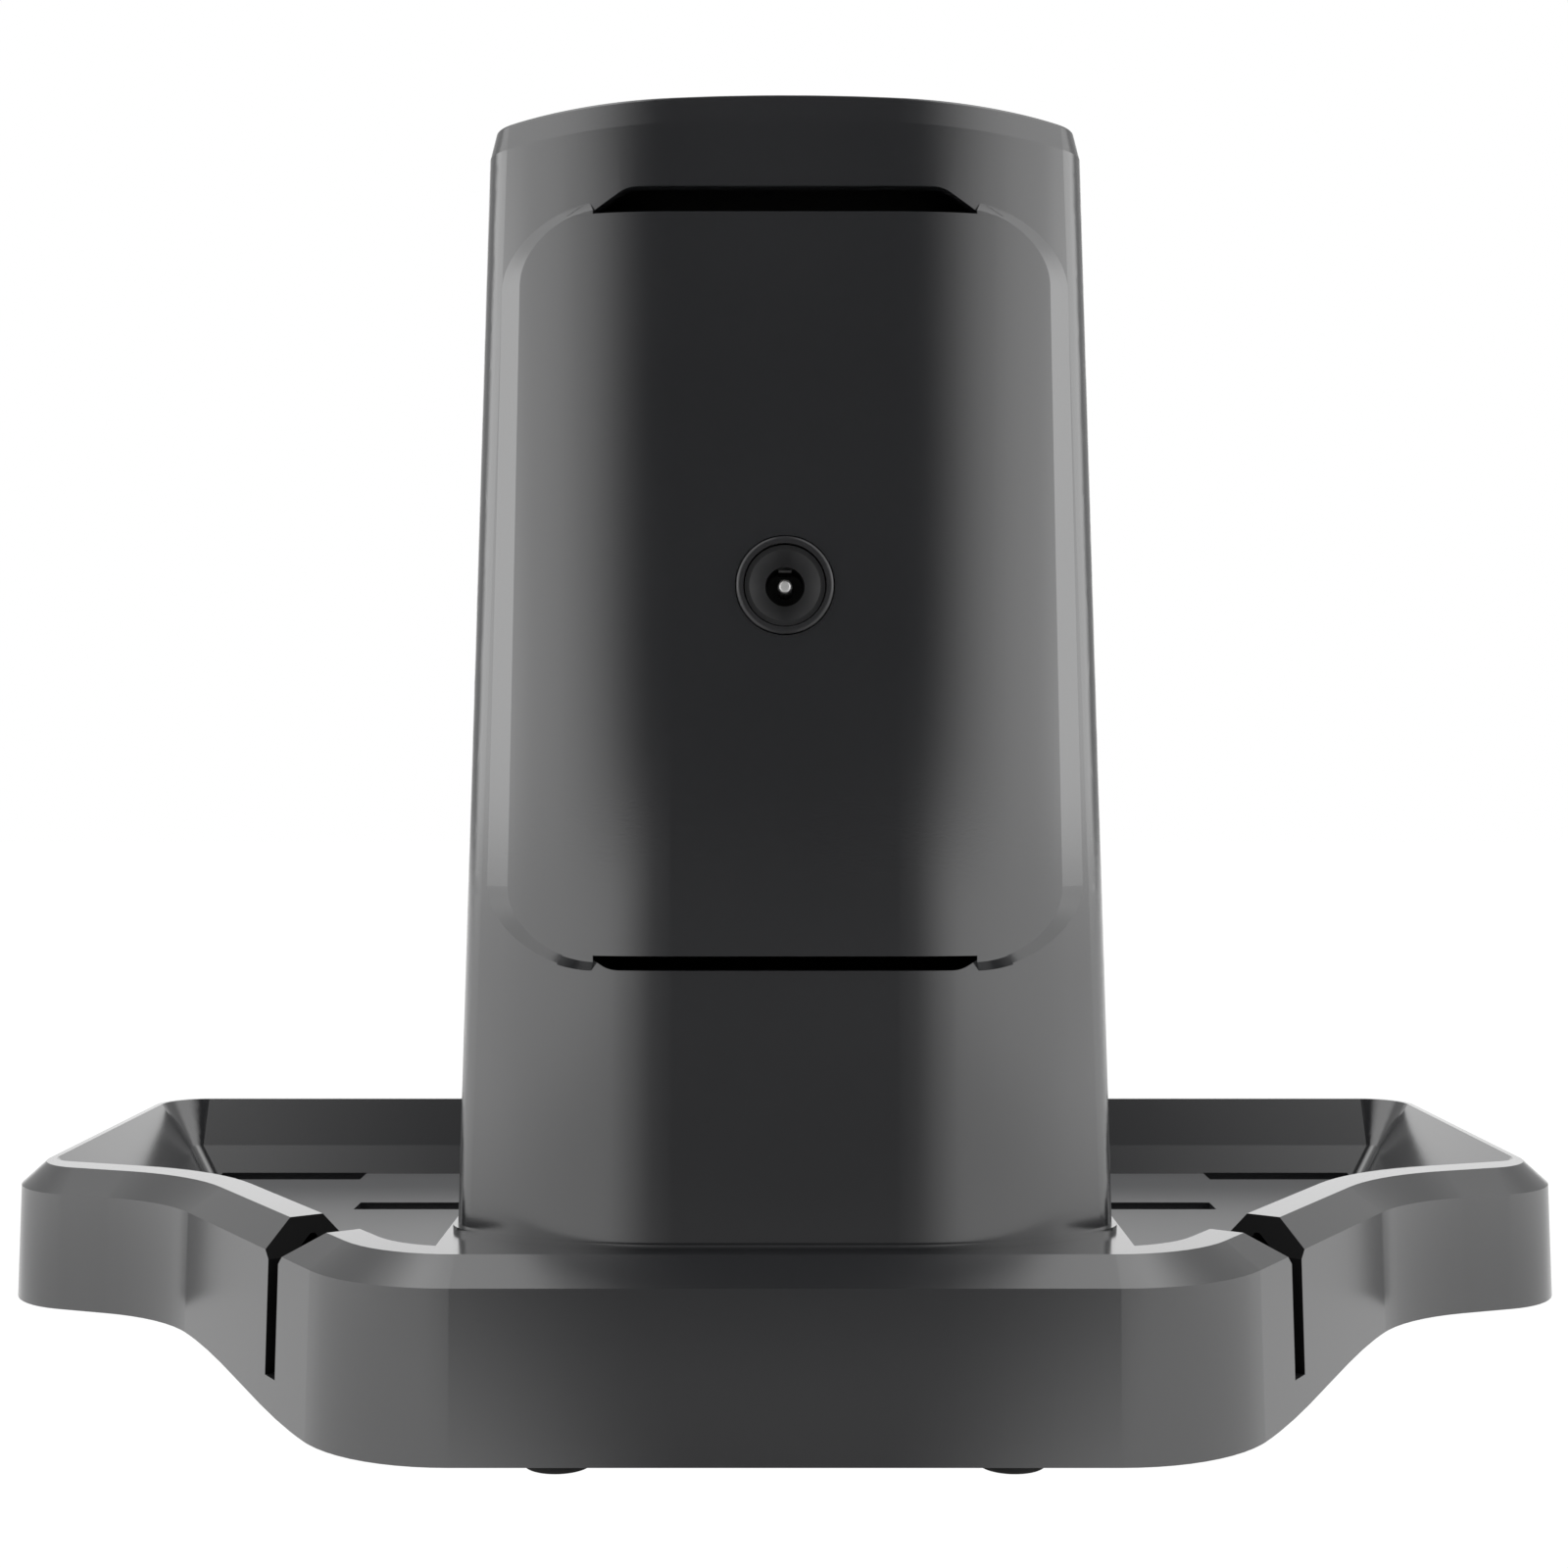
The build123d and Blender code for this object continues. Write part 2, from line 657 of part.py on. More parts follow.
# Charging contacts: a block in the front cover that holds two studs
block_half = contact_block_width / 2
block_rise = contact_block_height / 2
cover_inner = tower_front - wall
flange_rear = cover_inner - contact_flange_thickness
block_front = tower_front + contact_block_proud
contact_low = contact_level - block_rise
contact_high = contact_level + block_rise
window = block(
    -block_half - fit_clearance,
    block_half + fit_clearance,
    cover_inner - wall,
    block_front,
    contact_low - fit_clearance,
    contact_high + fit_clearance,
)
tower_front_cover = tower_front_cover - window
contact_body = block(-block_half, block_half, flange_rear, block_front, contact_low, contact_high)
contact_body = fillet(contact_body.edges().filter_by(Axis.Y), contact_corner_radius)
contact_body = contact_body + block(
    -block_half - contact_flange,
    block_half + contact_flange,
    flange_rear,
    cover_inner,
    contact_low - contact_flange,
    contact_high + contact_flange,
)
stud_places = [(-contact_spacing / 2, "charging_pin_left"), (contact_spacing / 2, "charging_pin_right")]
for x, name in stud_places:
    contact_body = contact_body - bar(x, contact_level, flange_rear, block_front, contact_diameter)
    stud = bar(x, contact_level, flange_rear, block_front + contact_proud, contact_diameter)
    stud = fillet(stud.edges().group_by(Axis.Y)[-1], contact_tip_radius)
    save(name, stud + bar(x, contact_level, board_front, flange_rear, contact_tail_diameter))
save("contact_block", contact_body)

# Charging board on two bosses of the front cover, with the leads from the jack
board_half = board_width / 2
board_low = board_level - board_height / 2
board_high = board_level + board_height / 2
board = block(-board_half, board_half, board_rear, board_front, board_low, board_high)
screw_tip = board_rear + board_screw_length
for side in (-1, 1):
    x = side * board_screw_spread
    tower_front_cover = tower_front_cover + bar(
        x, board_screw_level, board_front, cover_inner, board_boss_diameter
    )
    tower_front_cover = tower_front_cover - bar(
        x, board_screw_level, board_front - wall, screw_tip + fit_clearance, hole_diameter
    )
    board = board - bar(x, board_screw_level, board_rear - wall, board_front + wall, hole_diameter)
save("tower_front_cover", tower_front_cover)
save("charging_board", board)
connector_rear = board_rear - connector_depth
connector = block(
    -connector_width / 2,
    connector_width / 2,
    connector_rear,
    board_rear,
    jack_height - connector_height / 2,
    jack_height + connector_height / 2,
)
save("lead_connector", connector)


def lead(side, start_height):
    """Lead from a jack terminal, bowed out to one side, to its way into the connector."""
    span = connector_rear - terminal_end
    path = FilletPolyline(
        (0, terminal_end, start_height),
        (0, terminal_end + span / 4, start_height),
        (side * lead_bow, terminal_end + span / 2, jack_height + lead_lift),
        (side * lead_spacing / 2, connector_rear - span / 4, jack_height),
        (side * lead_spacing / 2, connector_rear, jack_height),
        radius=lead_bend,
    )
    start = Plane(path.position_at(0), z_dir=path.tangent_at(0))
    return sweep(start * Circle(lead_diameter / 2), path=path)


save("lead_positive", lead(1, spring_top))
save("lead_negative", lead(-1, jack_height))

# Screws, each kind in one group
def screw(x, y, seat, length):
    """Round-head screw that points up, its head under the seat."""
    head = rod(x, y, seat - screw_head_height, seat, screw_head_diameter)
    head = fillet(head.edges().group_by(Axis.Z)[0], screw_head_height / 2)
    return head + rod(x, y, seat, seat + length, screw_diameter)


def group(name, shapes):
    """Write several equal solids as one piece."""
    export_step(Compound(children=[shape.solids()[0] for shape in shapes]), f"parts/{name}.step")


group("cover_screws", [screw(x, y, cover_level, screw_length) for x, y in cover_screw_places])
tower_places = rear_tower_places + front_tower_places
group("tower_screws", [screw(x, y, tower_screw_seat, tower_screw_length) for x, y in tower_places])
upright_screw = screw(0, 0, 0, board_screw_length)
group(
    "board_screws",
    [
        Pos(side * board_screw_spread, board_rear, board_screw_level) * Rot(-90, 0, 0) * upright_screw
        for side in (-1, 1)
    ],
)
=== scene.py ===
import math

import bmesh
import bpy
import numpy as np
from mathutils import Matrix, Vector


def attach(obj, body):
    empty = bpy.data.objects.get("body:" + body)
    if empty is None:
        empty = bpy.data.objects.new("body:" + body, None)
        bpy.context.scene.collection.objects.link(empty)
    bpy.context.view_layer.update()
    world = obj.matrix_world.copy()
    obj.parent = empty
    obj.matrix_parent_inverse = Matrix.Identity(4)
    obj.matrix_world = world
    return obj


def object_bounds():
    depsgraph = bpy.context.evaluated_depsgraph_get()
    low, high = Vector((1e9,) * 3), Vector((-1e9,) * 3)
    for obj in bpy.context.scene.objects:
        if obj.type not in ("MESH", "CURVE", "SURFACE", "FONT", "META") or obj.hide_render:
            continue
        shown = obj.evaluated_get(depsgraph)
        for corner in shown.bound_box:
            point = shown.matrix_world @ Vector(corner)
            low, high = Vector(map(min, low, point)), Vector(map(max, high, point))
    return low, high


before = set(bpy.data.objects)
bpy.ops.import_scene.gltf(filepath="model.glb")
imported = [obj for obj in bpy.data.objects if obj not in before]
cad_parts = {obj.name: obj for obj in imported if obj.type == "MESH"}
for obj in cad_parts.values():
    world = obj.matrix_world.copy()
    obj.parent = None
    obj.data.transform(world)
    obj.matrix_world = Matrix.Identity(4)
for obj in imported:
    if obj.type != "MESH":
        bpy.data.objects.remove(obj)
cad_low, cad_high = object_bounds()

# Base tray: one injection moulding in dark grey ABS, with a drafted skirt, a chamfered rim and
# a sunk floor. The mould's fine spark-eroded skin gives it a satin gloss, coarser on the floor,
# where its colour is painted paler as a painted sheen. The cheeks of the slits in its necks carry
# painted shade: a matt, nearly black shader.


class Wire:
    """A socket in a material's node tree. Arithmetic on it adds Math nodes, and any other
    node comes from the node method."""

    def __init__(self, tree, socket=None):
        self.tree = tree
        self.socket = socket

    def feed(self, socket, value):
        """Links value to socket when it is a wire, and writes it there when it is a number."""
        if isinstance(value, Wire):
            self.tree.links.new(value.socket, socket)
        else:
            socket.default_value = value

    def node(self, kind, settings=None, sockets=None, out=0):
        """Adds a node of that type, sets its settings, then its sockets, and gives one output."""
        made = self.tree.nodes.new(kind)
        for name, value in (settings or {}).items():
            setattr(made, name, value)
        for name, value in (sockets or {}).items():
            self.feed(made.inputs[name], value)
        return Wire(self.tree, made.outputs[out])

    def axes(self):
        """The X, Y and Z of a vector."""
        split = self.node("ShaderNodeSeparateXYZ", sockets={"Vector": self})
        return [Wire(self.tree, socket) for socket in split.socket.node.outputs]

    def math(self, operation, first, second=0.0):
        """A Math node on two values."""
        return self.node("ShaderNodeMath", {"operation": operation}, {0: first, 1: second})

    def absolute(self):
        """The value without its sign."""
        return self.math("ABSOLUTE", self)

    def __add__(self, other):
        return self.math("ADD", self, other)

    __radd__ = __add__

    def __sub__(self, other):
        return self.math("SUBTRACT", self, other)

    def __rsub__(self, other):
        return self.math("SUBTRACT", other, self)

    def __mul__(self, other):
        return self.math("MULTIPLY", self, other)

    __rmul__ = __mul__

    def __truediv__(self, other):
        return self.math("DIVIDE", self, other)

    def __rtruediv__(self, other):
        return self.math("DIVIDE", other, self)

    def __lt__(self, other):
        return self.math("LESS_THAN", self, other)

    def __gt__(self, other):
        return self.math("GREATER_THAN", self, other)

    def ramp(self, low, high):
        """0 below low, 1 above high, with a smooth rise between."""
        return self.node(
            "ShaderNodeMapRange",
            {"interpolation_type": "SMOOTHSTEP"},
            {"Value": self, "From Min": low, "From Max": high},
        )

    def blend(self, first, second):
        """The colour first where this value is 0 and second where it is 1."""
        return self.node(
            "ShaderNodeMix",
            {"data_type": "RGBA"},
            {"Factor": self, 6: first, 7: second},
            out=2,
        )


def start_material(name, constants):
    """A new Principled material with these constants on its own sockets, and a wire on the
    object's coordinates in metres."""
    made = bpy.data.materials.new(name)
    made.use_nodes = True
    shader = made.node_tree.nodes["Principled BSDF"]
    for socket, value in constants.items():
        shader.inputs[socket].default_value = value
    place = Wire(made.node_tree).node("ShaderNodeTexCoord", out=3)
    return made, shader, place


def noise(place, scale, detail=2.0, roughness=0.5):
    """Noise from 0 to 1 with that many cells a metre."""
    return place.node(
        "ShaderNodeTexNoise",
        sockets={"Vector": place, "Scale": scale, "Detail": detail, "Roughness": roughness},
    )


def bump(height, strength, distance):
    """A Bump node's normal over a height from 0 to 1, distance metres tall."""
    return height.node(
        "ShaderNodeBump",
        sockets={"Height": height, "Strength": strength, "Distance": distance},
    )


tray_floor = 0.0185
floor_fade = 0.001
floor_upright = (0.9, 0.98)
# How many times paler the floor's colour is painted, as a painted sheen.
floor_sheen_paint = 2.2
floor_grit_share = 0.3
floor_coarser = 0.25


def floor_mask(place, level):
    """1 on faces that look up and lie no higher than this level, and 0 elsewhere."""
    upright = place.node("ShaderNodeNewGeometry", out=1).axes()[2]
    height = place.axes()[2]
    return upright.ramp(*floor_upright) * (1 - height.ramp(level, level + floor_fade))


cloud_cells = 22.0
scuff_cells = 160.0
scuff_range = (0.66, 0.8)
scuff_patch_cells = 14.0
scuff_patch_range = (0.5, 0.7)
cloud_share = 0.5
grit_share = 0.3
scuff_share = 0.4
tone_range = (0.15, 0.95)
scuff_dulling = 0.08
grain_strength = 0.12
grain_height = 0.00003


def moulded(name, colour, lighter, roughness, spread, grain, constants, floor_level=None):
    """Moulded plastic: a spark-eroded grain, slow clouds of gloss, and sparse pale scuffs. Up to
    the floor level, if there is one, faces that look up are coarser and painted paler, a painted
    sheen."""
    made, shader, place = start_material(name, constants)
    grit = noise(place, grain, detail=3.0)
    cloud = noise(place, cloud_cells, detail=4.0)
    scuff = noise(place, scuff_cells, detail=5.0, roughness=0.65).ramp(*scuff_range)
    scuff = scuff * noise(place, scuff_patch_cells).ramp(*scuff_patch_range)
    tone = cloud * cloud_share + grit * grit_share + scuff * scuff_share
    tint = tone.ramp(*tone_range).blend(colour, lighter)
    dull = roughness + (cloud - 0.5) * spread + scuff * scuff_dulling
    if floor_level:
        coarse_and_sheen = floor_mask(place, floor_level)
        # On the floor the colour is painted paler, a painted sheen, and the roughness rises as
        # well.
        red, green, blue, _ = lighter
        painted_sheen = (floor_sheen_paint * red, floor_sheen_paint * green, floor_sheen_paint * blue, 1)
        tint = (coarse_and_sheen * (1 - floor_grit_share + floor_grit_share * grit)).blend(tint, painted_sheen)
        dull = dull + coarse_and_sheen * floor_coarser
    place.feed(shader.inputs["Base Color"], tint)
    place.feed(shader.inputs["Roughness"], dull)
    place.feed(shader.inputs["Normal"], bump(grit, grain_strength, grain_height))
    return made


rear_flat_half = 0.0674
shoulder_half = 0.1155
shoulder_depth = 0.0707
slit_along = 0.0314
slit_half = 0.0021
slit_bottom = 0.0095
slit_inner = -0.0176
slit_outer = 0.004
funnel_half = 0.0078
funnel_foot = 0.0284
rim_top = 0.0338
mask_margin = 0.0001

neck_length = math.hypot(shoulder_half - rear_flat_half, shoulder_depth)
neck_x = (shoulder_half - rear_flat_half) / neck_length
neck_y = shoulder_depth / neck_length
slit_x = rear_flat_half + neck_x * slit_along
slit_y = cad_low[1] + neck_y * slit_along


def slit_shade_mask(place):
    """1 on the cheeks of the slit in each neck wall, and 0 elsewhere. A point is on a cheek when
    it is no farther from the slit's middle plane than the half width, which grows from the
    funnel's foot up to the rim, and lies above its bottom and within the cut's reach."""
    x, y, height = place.axes()
    x = x.absolute() - slit_x
    y = y - slit_y
    along = x * neck_x + y * neck_y
    through = x * neck_y - y * neck_x
    half = place.node(
        "ShaderNodeMapRange",
        sockets={
            "Value": height,
            "From Min": funnel_foot,
            "From Max": rim_top,
            "To Min": slit_half + mask_margin,
            "To Max": funnel_half + mask_margin,
        },
    )
    within = (through > slit_inner) * (through < slit_outer)
    return (along.absolute() < half) * (height > slit_bottom - mask_margin) * within


def paint_shade_where(material, mask, constants):
    """Mixes a matt shader with these constants into a material where the mask is 1, to paint shade
    there.
    """
    tree = material.node_tree
    wire = Wire(tree)
    place = wire.node("ShaderNodeTexCoord", out=3)
    dark_shade = wire.node("ShaderNodeBsdfPrincipled", sockets=constants)
    glossy = Wire(tree, tree.nodes["Principled BSDF"].outputs[0])
    mixed = wire.node("ShaderNodeMixShader", sockets={0: mask(place), 1: glossy, 2: dark_shade})
    wire.feed(tree.nodes["Material Output"].inputs["Surface"], mixed)


def dress(material, *nodes):
    """Puts the material on every slot of these CAD nodes."""
    for node in nodes:
        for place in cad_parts[node].material_slots:
            place.material = material


satin_grey = moulded(
    "satin_grey_plastic",
    colour=(0.017, 0.0175, 0.019, 1),
    lighter=(0.024, 0.0245, 0.026, 1),
    roughness=0.17,
    spread=0.05,
    grain=2600.0,
    constants={"IOR": 1.58, "Specular IOR Level": 1.0},
    floor_level=tray_floor,
)
# The cheeks of the slits get painted shade: a matt, nearly black shader mixed in over the gloss.
paint_shade_where(
    satin_grey,
    slit_shade_mask,
    {"Base Color": (0.004, 0.004, 0.0042, 1), "Roughness": 0.75, "Specular IOR Level": 0.15},
)
dress(satin_grey, "base_tray")

# Bottom cover: a flat black plate that closes the underside, held up by six screws, with posts
# that hold the feet.
plain_black = moulded(
    "plain_black_plastic",
    colour=(0.011, 0.011, 0.012, 1),
    lighter=(0.018, 0.018, 0.019, 1),
    roughness=0.45,
    spread=0.10,
    grain=1900.0,
    constants={"IOR": 1.5},
)
dress(plain_black, "bottom_cover")

# Feet: four round pads of black rubber, pressed into the posts of the cover. They pick up
# floor dust, so they are paler and duller in patches.
rubber_black = (0.012, 0.012, 0.012, 1)
rubber_dusty = (0.035, 0.034, 0.032, 1)
rubber_roughness = 0.72
rubber_cells = 3200.0
dust_cells = 420.0
dust_range = (0.45, 0.75)
dust_dulling = 0.18
foot_rubber, rubber_shader, rubber_place = start_material("foot_rubber", {"IOR": 1.48})
rubber_dust = noise(rubber_place, dust_cells, detail=5.0).ramp(*dust_range)
rubber_grain = noise(rubber_place, rubber_cells)
rubber_dull = rubber_roughness + rubber_dust * dust_dulling
rubber_place.feed(rubber_shader.inputs["Base Color"], rubber_dust.blend(rubber_black, rubber_dusty))
rubber_place.feed(rubber_shader.inputs["Roughness"], rubber_dull)
rubber_place.feed(
    rubber_shader.inputs["Normal"], bump(rubber_grain, strength=0.5, distance=0.00006)
)
dress(foot_rubber, "foot_rear_left", "foot_rear_right", "foot_far_left", "foot_far_right")

# Tower: a rear shell and a front cover in the tray's own plastic, which meet along a split that
# runs down both sides. Four screws from below hold them on the tray.
dress(satin_grey, "tower_rear_shell", "tower_front_cover")

# Rear panel: a plate with bevelled edges that stands proud of the rear shell, clips into it
# through its opening and carries the power jack. It comes from the same plastic. Its bevel
# runs on round each corner to the end of the slot in the shell.
dress(satin_grey, "rear_panel")
tower_rear = -0.0819
plan_flat_half = 0.018
plan_radius = 0.053
panel_proud = 0.0014
corner_radius = 0.0119
skin = 0.00002
upper_pole = (0.02592, 0.1864)
upper_slot_edge = 0.1968
upper_sines = (0.365, 0.70)
lower_pole = (0.02721, 0.0906)
lower_slot_edge = 0.0802
lower_sines = (0.257, 0.60)
wedge_sections = 24
settling_rounds = 40
sharp_angle = math.radians(30)


def ring_piece(name, stacks, material):
    """Closed shells from stacks of rings, and their mirror images in X: each ring is joined to
    the next one point by point, and the first and the last are capped."""
    points = []
    faces = []
    for stack in stacks:
        index = np.arange(stack.shape[0] * stack.shape[1]).reshape(stack.shape[:2])
        onward = np.roll(index, -1, axis=1)
        walls = np.stack([index[:-1], index[1:], onward[1:], onward[:-1]], axis=-1).reshape(-1, 4)
        for side in (1, -1):
            faces += (walls + len(points)).tolist()
            faces += (index[[0, -1]] + len(points)).tolist()
            points += (stack.reshape(-1, 3) * (side, 1, 1)).tolist()
    mesh = bpy.data.meshes.new(name)
    mesh.from_pydata(points, [], faces)
    shell = bmesh.new()
    shell.from_mesh(mesh)
    bmesh.ops.recalc_face_normals(shell, faces=shell.faces)
    shell.to_mesh(mesh)
    shell.free()
    mesh.shade_smooth()
    mesh.set_sharp_from_angle(angle=sharp_angle)
    mesh.materials.append(material)
    made = bpy.data.objects.new(name, mesh)
    bpy.context.scene.collection.objects.link(made)
    return made


def plan_depth(x, proud):
    """How far the tower's rear has curved back at x, for a skin this proud of it: an arc that
    starts where the flat middle of the plan ends."""
    return plan_radius - np.sqrt((plan_radius + proud) ** 2 - (x - plan_flat_half) ** 2)


def bevel_curve(pole, rise, angles, proud):
    """Where the corner's bevel meets a skin this proud of the tower. The bevel is a cone about
    an axis along Y through the pole, one millimetre wider for each millimetre of depth. Depth
    and reach hang on each other, so both are worked out again until they settle."""
    depth = np.zeros_like(angles)
    for _ in range(settling_rounds):
        depth = plan_depth(pole[0] + (corner_radius + depth) * np.sin(angles), proud)
    reach = corner_radius + depth
    x = pole[0] + reach * np.sin(angles)
    return np.stack([x, tower_rear + depth - skin, pole[1] + rise * reach * np.cos(angles)], axis=1)


def bevel_wedge(pole, rise, slot_edge, sines):
    """The last few millimetres of the bevel at a slot: a wedge carried round the corner, whose
    section runs over the panel's face, down the bevel to the shell, in along the shell and up
    the slot's edge. The sines are those of the angles where it starts and ends."""
    angles = np.arcsin(np.linspace(*sines, wedge_sections))
    upper = bevel_curve(pole, rise, angles, panel_proud)
    lower = bevel_curve(pole, rise, angles, 0.0)
    inner = upper.copy()
    inner[:, 2] = rise * np.minimum(rise * upper[:, 2] - skin, rise * slot_edge)
    behind = np.stack([inner[:, 0], lower[:, 1], inner[:, 2]], axis=1)
    return np.stack([inner, upper, lower, behind], axis=1)


upper_wedge = bevel_wedge(upper_pole, 1, upper_slot_edge, upper_sines)
lower_wedge = bevel_wedge(lower_pole, -1, lower_slot_edge, lower_sines)
panel_bevel_ends = ring_piece("panel_bevel_ends", [upper_wedge, lower_wedge], satin_grey)
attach(panel_bevel_ends, "root")

# Power jack: a black bezel, a body with a coned mouth, a nickel pin and a leaf spring that has
# dulled. The flanged bezel holds the jack in the panel from behind.
rub_cells = 900.0
rub_range = (0.4, 0.8)
rub_dulling = 0.1
turning_dulling = 0.05
turning_strength = 0.15
turning_height = 0.00002

bezel_black = moulded(
    "bezel_black_plastic",
    colour=(0.016, 0.016, 0.017, 1),
    lighter=(0.024, 0.024, 0.026, 1),
    roughness=0.30,
    spread=0.06,
    grain=5200.0,
    constants={"IOR": 1.52},
)
dress(bezel_black, "dc_jack_bezel")
dress(plain_black, "dc_jack_body")


def plated(name, colour, worn, roughness, streak):
    """Bright plate on metal: fine turning lines in the gloss, and darker rubbed patches."""
    made, shader, place = start_material(name, {"Metallic": 1.0})
    turned = place.node(
        "ShaderNodeTexWave",
        {"wave_type": "BANDS", "bands_direction": "Y"},
        {"Vector": place, "Scale": streak, "Distortion": 2.0, "Detail": 2.0},
        out=1,
    )
    rubbed = noise(place, rub_cells, detail=4.0).ramp(*rub_range)
    dull = roughness + rubbed * rub_dulling + turned * turning_dulling
    place.feed(shader.inputs["Base Color"], rubbed.blend(colour, worn))
    place.feed(shader.inputs["Roughness"], dull)
    place.feed(shader.inputs["Normal"], bump(turned, turning_strength, turning_height))
    return made


pin_nickel = plated(
    "pin_nickel",
    colour=(0.88, 0.88, 0.87, 1),
    worn=(0.78, 0.77, 0.75, 1),
    roughness=0.42,
    streak=900.0,
)
spring_nickel = plated(
    "spring_nickel",
    colour=(0.24, 0.24, 0.24, 1),
    worn=(0.16, 0.16, 0.15, 1),
    roughness=0.35,
    streak=900.0,
)
dress(pin_nickel, "dc_jack_pin")
dress(spring_nickel, "dc_jack_spring")

# Charging contacts: a black moulded block that sits in the front cover and holds two fixed,
# gold-plated studs, which the vacuum's own contacts lean on.
stud_gold = plated(
    "stud_gold",
    colour=(0.86, 0.62, 0.27, 1),
    worn=(0.68, 0.48, 0.22, 1),
    roughness=0.18,
    streak=700.0,
)
dress(plain_black, "contact_block")
dress(stud_gold, "charging_pin_left", "charging_pin_right")

# Charging board: a green laminate plate inside the tower, screwed to two bosses of the front
# cover, with copper tracks under its mask.
board_colour = (0.006, 0.075, 0.028, 1)
track_colour = (0.020, 0.145, 0.050, 1)
board_roughness = 0.34
track_pitch_rate = 2400.0
track_line_range = (0.55, 0.75)
track_break_rate = 520.0
track_break_range = (-0.5, -0.3)
track_gloss = 0.1
board_green, board_shader, board_place = start_material("board_green", {"IOR": 1.5})
board_across, _, board_up = board_place.axes()
track_lines = board_place.math("SINE", board_up * track_pitch_rate).ramp(*track_line_range)
track_ends = board_place.math("SINE", board_across * track_break_rate).ramp(*track_break_range)
tracks = track_lines * track_ends
board_place.feed(board_shader.inputs["Base Color"], tracks.blend(board_colour, track_colour))
board_place.feed(board_shader.inputs["Roughness"], board_roughness - tracks * track_gloss)
board_place.feed(board_shader.inputs["Normal"], bump(tracks, strength=0.4, distance=0.00004))
dress(board_green, "charging_board")

# Lead connector and leads: a natural nylon housing on the board, and two insulated wires that
# run from it to the jack.
nylon = moulded(
    "connector_nylon",
    colour=(0.66, 0.63, 0.55, 1),
    lighter=(0.74, 0.71, 0.64, 1),
    roughness=0.42,
    spread=0.08,
    grain=1500.0,
    constants={"IOR": 1.53, "Subsurface Weight": 0.1},
)
lead_red = moulded(
    "lead_red",
    colour=(0.36, 0.012, 0.010, 1),
    lighter=(0.44, 0.02, 0.016, 1),
    roughness=0.38,
    spread=0.08,
    grain=1800.0,
    constants={"IOR": 1.5},
)
lead_black = moulded(
    "lead_black",
    colour=(0.012, 0.012, 0.013, 1),
    lighter=(0.02, 0.02, 0.021, 1),
    roughness=0.38,
    spread=0.08,
    grain=1800.0,
    constants={"IOR": 1.5},
)
dress(nylon, "lead_connector")
dress(lead_red, "lead_positive")
dress(lead_black, "lead_negative")

# Screws: zinc-plated steel self-tapping screws. They hold the tower on the tray, the cover
# under it and the board in the tower.
zinc = plated(
    "zinc_plate",
    colour=(0.52, 0.52, 0.54, 1),
    worn=(0.40, 0.40, 0.41, 1),
    roughness=0.30,
    streak=1200.0,
)
dress(zinc, "tower_screws", "cover_screws", "board_screws")

# Studio: a flat white floor inside a tent of white diffusion cloth, lit from outside. The tent is
# open towards the camera, which gives the tower its dark middle.
floor_half = 4.0
floor_white = 1.07
floor_glow_share = 0.94
card_colour = (0.8, 0.8, 0.8, 1)
strip_start = 0.09
strip_half = 0.06
strip_slope = 0.5
strip_edges = (0.2, 0.9)
strip_near = 0.22
strip_fall = 0.17
strip_fall_range = (0.05, 0.25)
strip_beside = 0.9
floor_side_lift = 0.5
floor_side_range = (0.2, 0.5)

tent_dark = 0.04
tent_corner = 1.7
tent_side = 3.0
tent_side_range = (0.8, 0.98)
tent_behind = 0.65
tent_behind_range = (0.1, 0.45)
tent_roof_extra = 1.3
tent_roof_levels = (0.3, 0.6)
tent_roof_sides = (0.05, 0.4)
opening_at_top = 0.2
opening_jambs = (0.15, 0.85)
opening_end = (-0.1, 0.2)
backdrop = 1.6
backdrop_range = (0.8, 0.95)


def tent(across, toward):
    """Brightness of the tent in a direction: dark in the upright opening that faces the camera,
    rising round its corners to the full light at both sides, low beyond them and white again at
    the backdrop. across and toward are the direction's X and Y. Higher up, where both are small,
    the opening is narrower and the roof beside it is brighter."""
    side = across.absolute()
    level = across.math("SQRT", across * across + toward * toward)
    width = opening_at_top + (1 - opening_at_top) * level
    opening = (1 - (side / width).ramp(*opening_jambs)) * (1 - toward.ramp(*opening_end))
    roof = (1 - level.ramp(*tent_roof_levels)) * side.ramp(*tent_roof_sides)
    lit = tent_corner + side.ramp(*tent_side_range) * (tent_side - tent_corner)
    lit = lit + roof * tent_roof_extra
    lit = lit - toward.ramp(*tent_behind_range) * (lit - tent_behind)
    lit = lit + toward.ramp(*backdrop_range) * (backdrop - lit)
    return lit - opening * (lit - tent_dark)


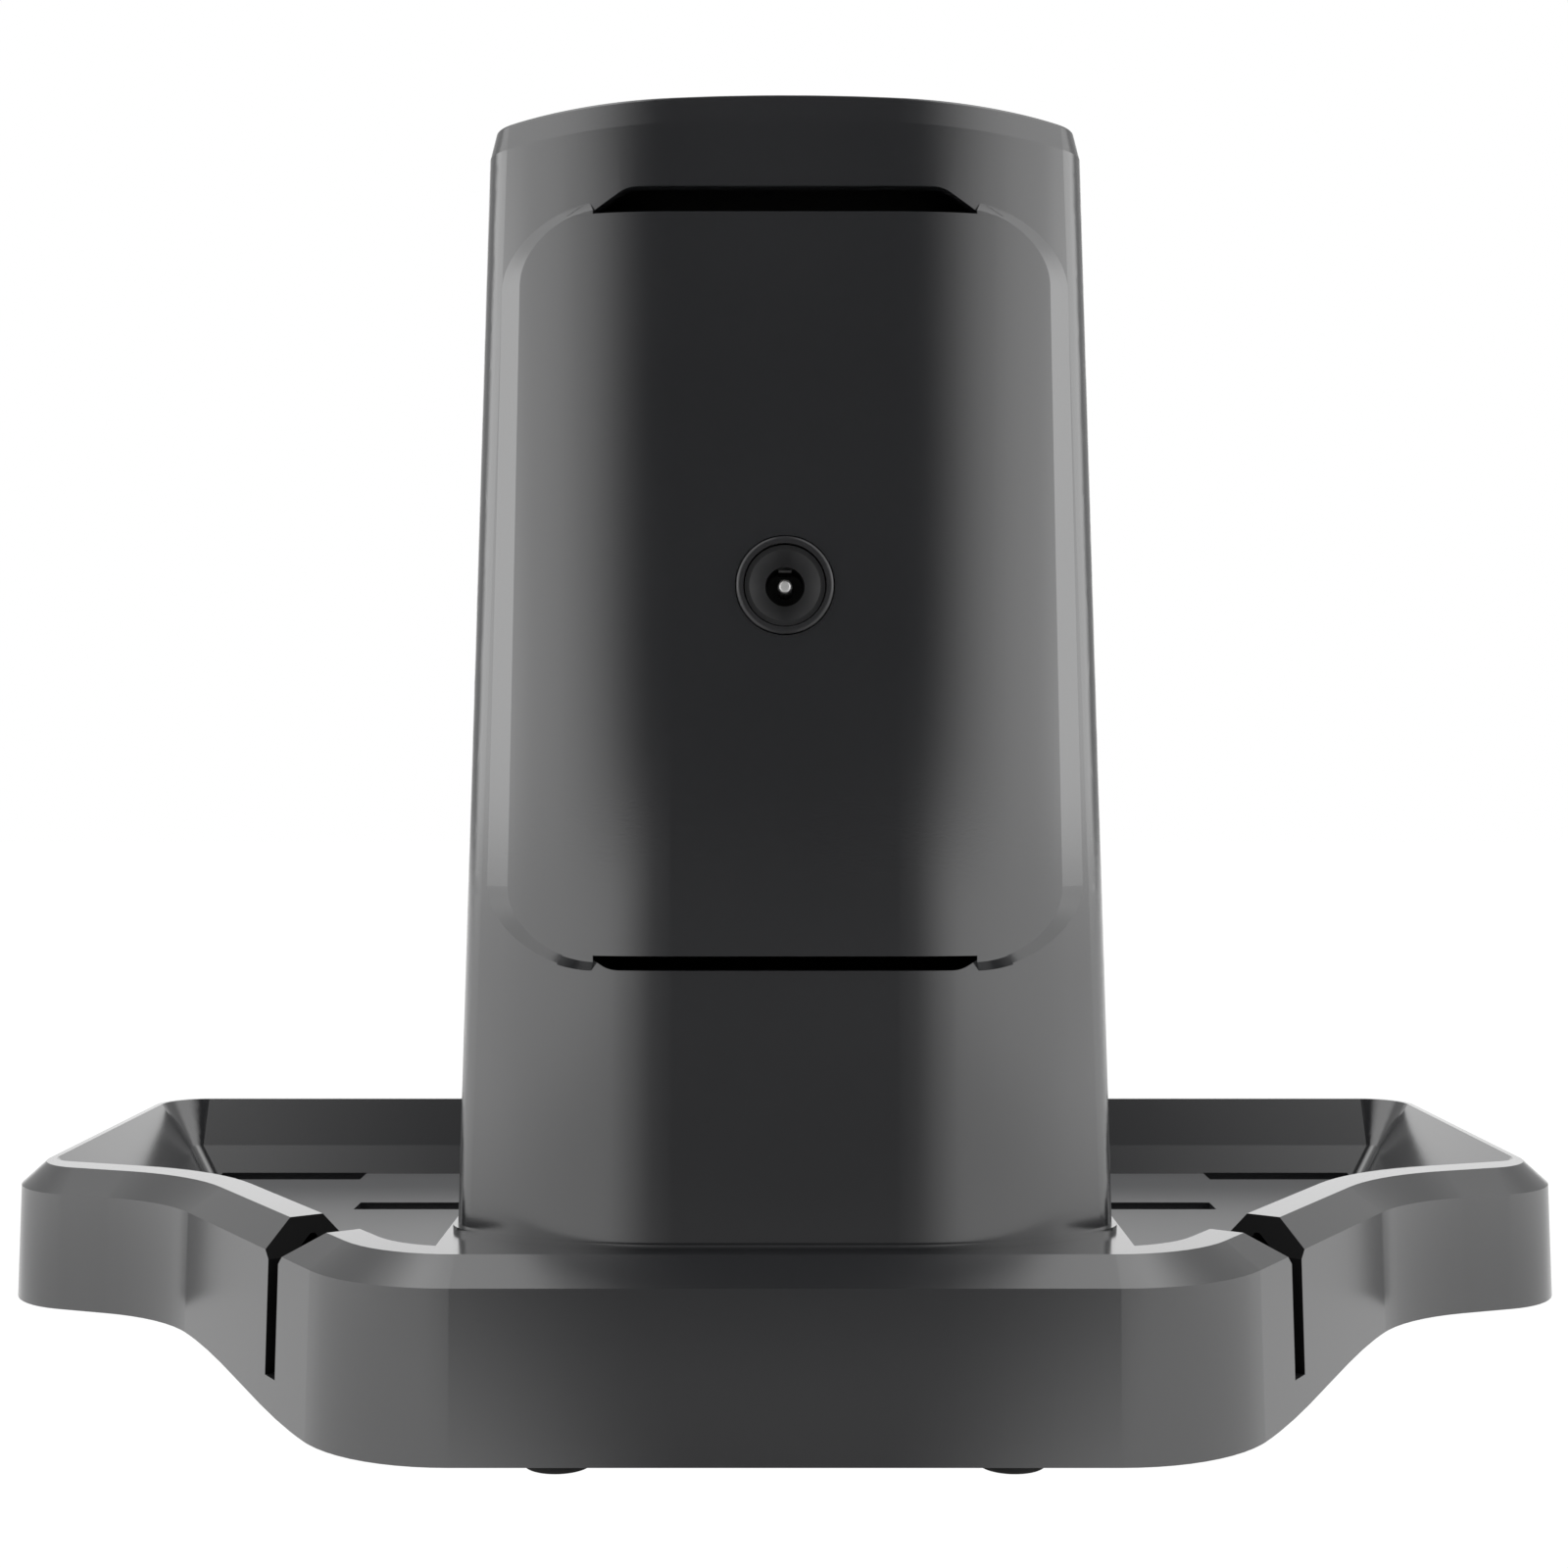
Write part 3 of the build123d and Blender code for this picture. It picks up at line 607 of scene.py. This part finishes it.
def white_card(name):
    """A pale card that the camera sees as white, dimmed a little where a shadow falls. Mirrors
    see it dim in a strip before the tent's opening, which widens and darkens with distance, and
    brighter on both sides of it."""
    made = bpy.data.materials.new(name)
    made.use_nodes = True
    tree = made.node_tree
    tree.nodes.remove(tree.nodes["Principled BSDF"])
    wire = Wire(tree)
    rays = wire.node("ShaderNodeLightPath")
    outputs = rays.socket.node.outputs
    mirrored = Wire(tree, outputs["Is Glossy Ray"]) + Wire(tree, outputs["Is Transmission Ray"])
    across, before, _ = wire.node("ShaderNodeTexCoord", out=3).axes()
    side = across.absolute()
    distance = (before + strip_start).absolute()
    beyond = (side / (strip_half + strip_slope * distance)).ramp(*strip_edges)
    lit = strip_near - strip_fall * distance.ramp(*strip_fall_range)
    lit = lit + strip_beside * beyond + floor_side_lift * side.ramp(*floor_side_range)
    card = wire.node("ShaderNodeBsdfDiffuse", sockets={"Color": card_colour})
    shown = rays * floor_white + mirrored * lit
    glow = wire.node("ShaderNodeEmission", sockets={"Color": (1, 1, 1, 1), "Strength": shown})
    share = (rays + mirrored).ramp(0.0, 1.0) * floor_glow_share
    mixed = wire.node("ShaderNodeMixShader", sockets={0: share, 1: card, 2: glow})
    wire.feed(tree.nodes["Material Output"].inputs["Surface"], mixed)
    return made


def sheet_mesh(name, corner, along, across):
    """A flat rectangle: corner + u * along + v * across, with u and v from 0 to 1."""
    corner, along, across = (np.array(v, float) for v in (corner, along, across))
    places = np.array([corner, corner + along, corner + along + across, corner + across])
    mesh = bpy.data.meshes.new(name)
    mesh.from_pydata(places.tolist(), [], [(0, 1, 2, 3)])
    made = bpy.data.objects.new(name, mesh)
    bpy.context.scene.collection.objects.link(made)
    return made


studio_floor = sheet_mesh(
    "studio_floor",
    (-floor_half, -floor_half, 0),
    (2 * floor_half, 0, 0),
    (0, 2 * floor_half, 0),
)
studio_floor.data.materials.append(white_card("white_floor"))

world = bpy.data.worlds.new("studio")
world.use_nodes = True
bpy.context.scene.world = world
world_wire = Wire(world.node_tree)
heading_across, heading_toward, _ = world_wire.node("ShaderNodeTexCoord").axes()
seen = world_wire.node("ShaderNodeLightPath")
world_background = world.node_tree.nodes["Background"]
world_background.inputs["Color"].default_value = (1, 1, 1, 1)
world_wire.feed(
    world_background.inputs["Strength"], seen + (1 - seen) * tent(heading_across, heading_toward)
)

# Camera: level, square to the rear of the base and a little below half its height. Its distance,
# height and shift were set until the outline met the photograph's.
photo_side = 1600
shift_right = -1
shift_up = 6
camera_back = 0.4247
camera_height = 0.1062
camera_data = bpy.data.cameras.new("camera")
camera_data.lens = 50.0
camera_data.sensor_width = 36.0
camera_data.shift_x = shift_right / photo_side
camera_data.shift_y = shift_up / photo_side
camera_data.clip_start = 0.01
camera = bpy.data.objects.new("camera", camera_data)
camera.location = (0, -camera_back, camera_height)
camera.rotation_euler = (math.pi / 2, 0, 0)
bpy.context.scene.collection.objects.link(camera)
bpy.context.scene.camera = camera
bpy.context.scene.view_settings.view_transform = "Standard"
